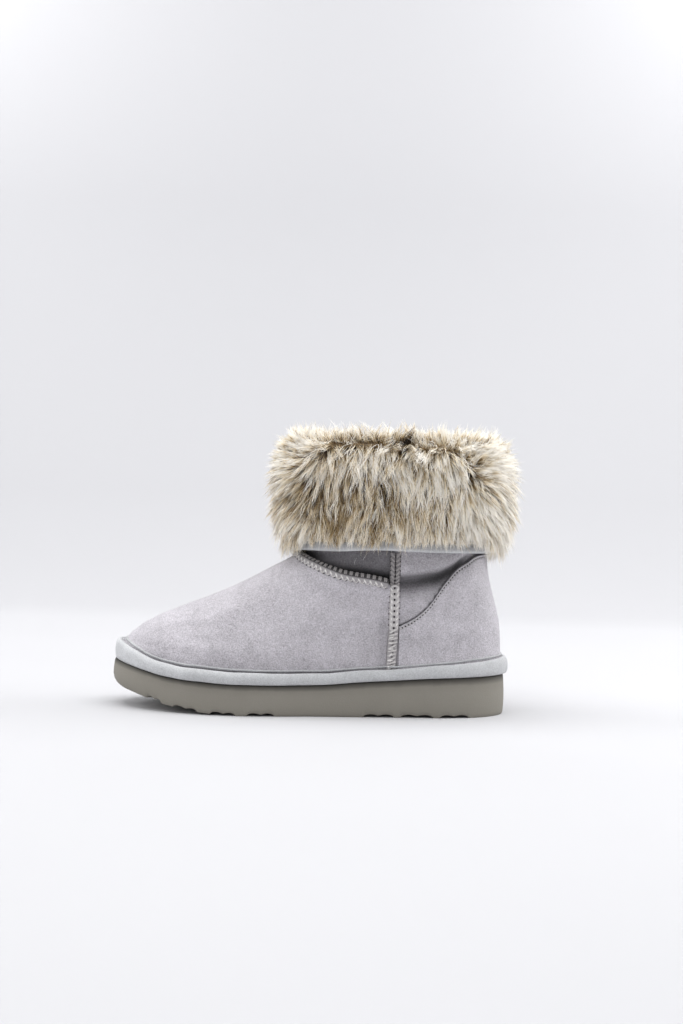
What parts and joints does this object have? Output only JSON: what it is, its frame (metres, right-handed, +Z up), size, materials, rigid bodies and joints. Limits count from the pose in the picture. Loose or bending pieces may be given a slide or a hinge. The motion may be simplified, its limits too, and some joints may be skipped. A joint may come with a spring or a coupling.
{
  "type": "winter boot",
  "caption": "Ankle-high suede winter boot for the left foot, with a folded-down long-pile cuff, raised side and instep seams, covered rand and thick foam sole.",
  "frame": {"origin": "on the floor, under the middle of the outsole, on the flat waist of its tread", "axes": "+X from heel to toe, +Y to the outer side of a left foot, +Z up"},
  "size_m": [0.2795, 0.1457, 0.1963],
  "materials": {
    "foam": "matt, finely pebbled",
    "trim": "matt",
    "fleece": "soft pile",
    "suede": "brushed nap",
    "thread": "twisted thread over suede",
    "fur": "long pile, dark at the roots and pale at the tips"
  },
  "bodies": {
    "root": {"outsole": "foam", "rand": "trim", "insole": "fleece", "upper": "suede", "counter": "suede", "side_seam_outer": "thread", "side_seam_inner": "thread", "vamp_seam": "thread", "cuff_binding": "trim", "cuff_pile": "fur"}
  },
  "joints": []
}
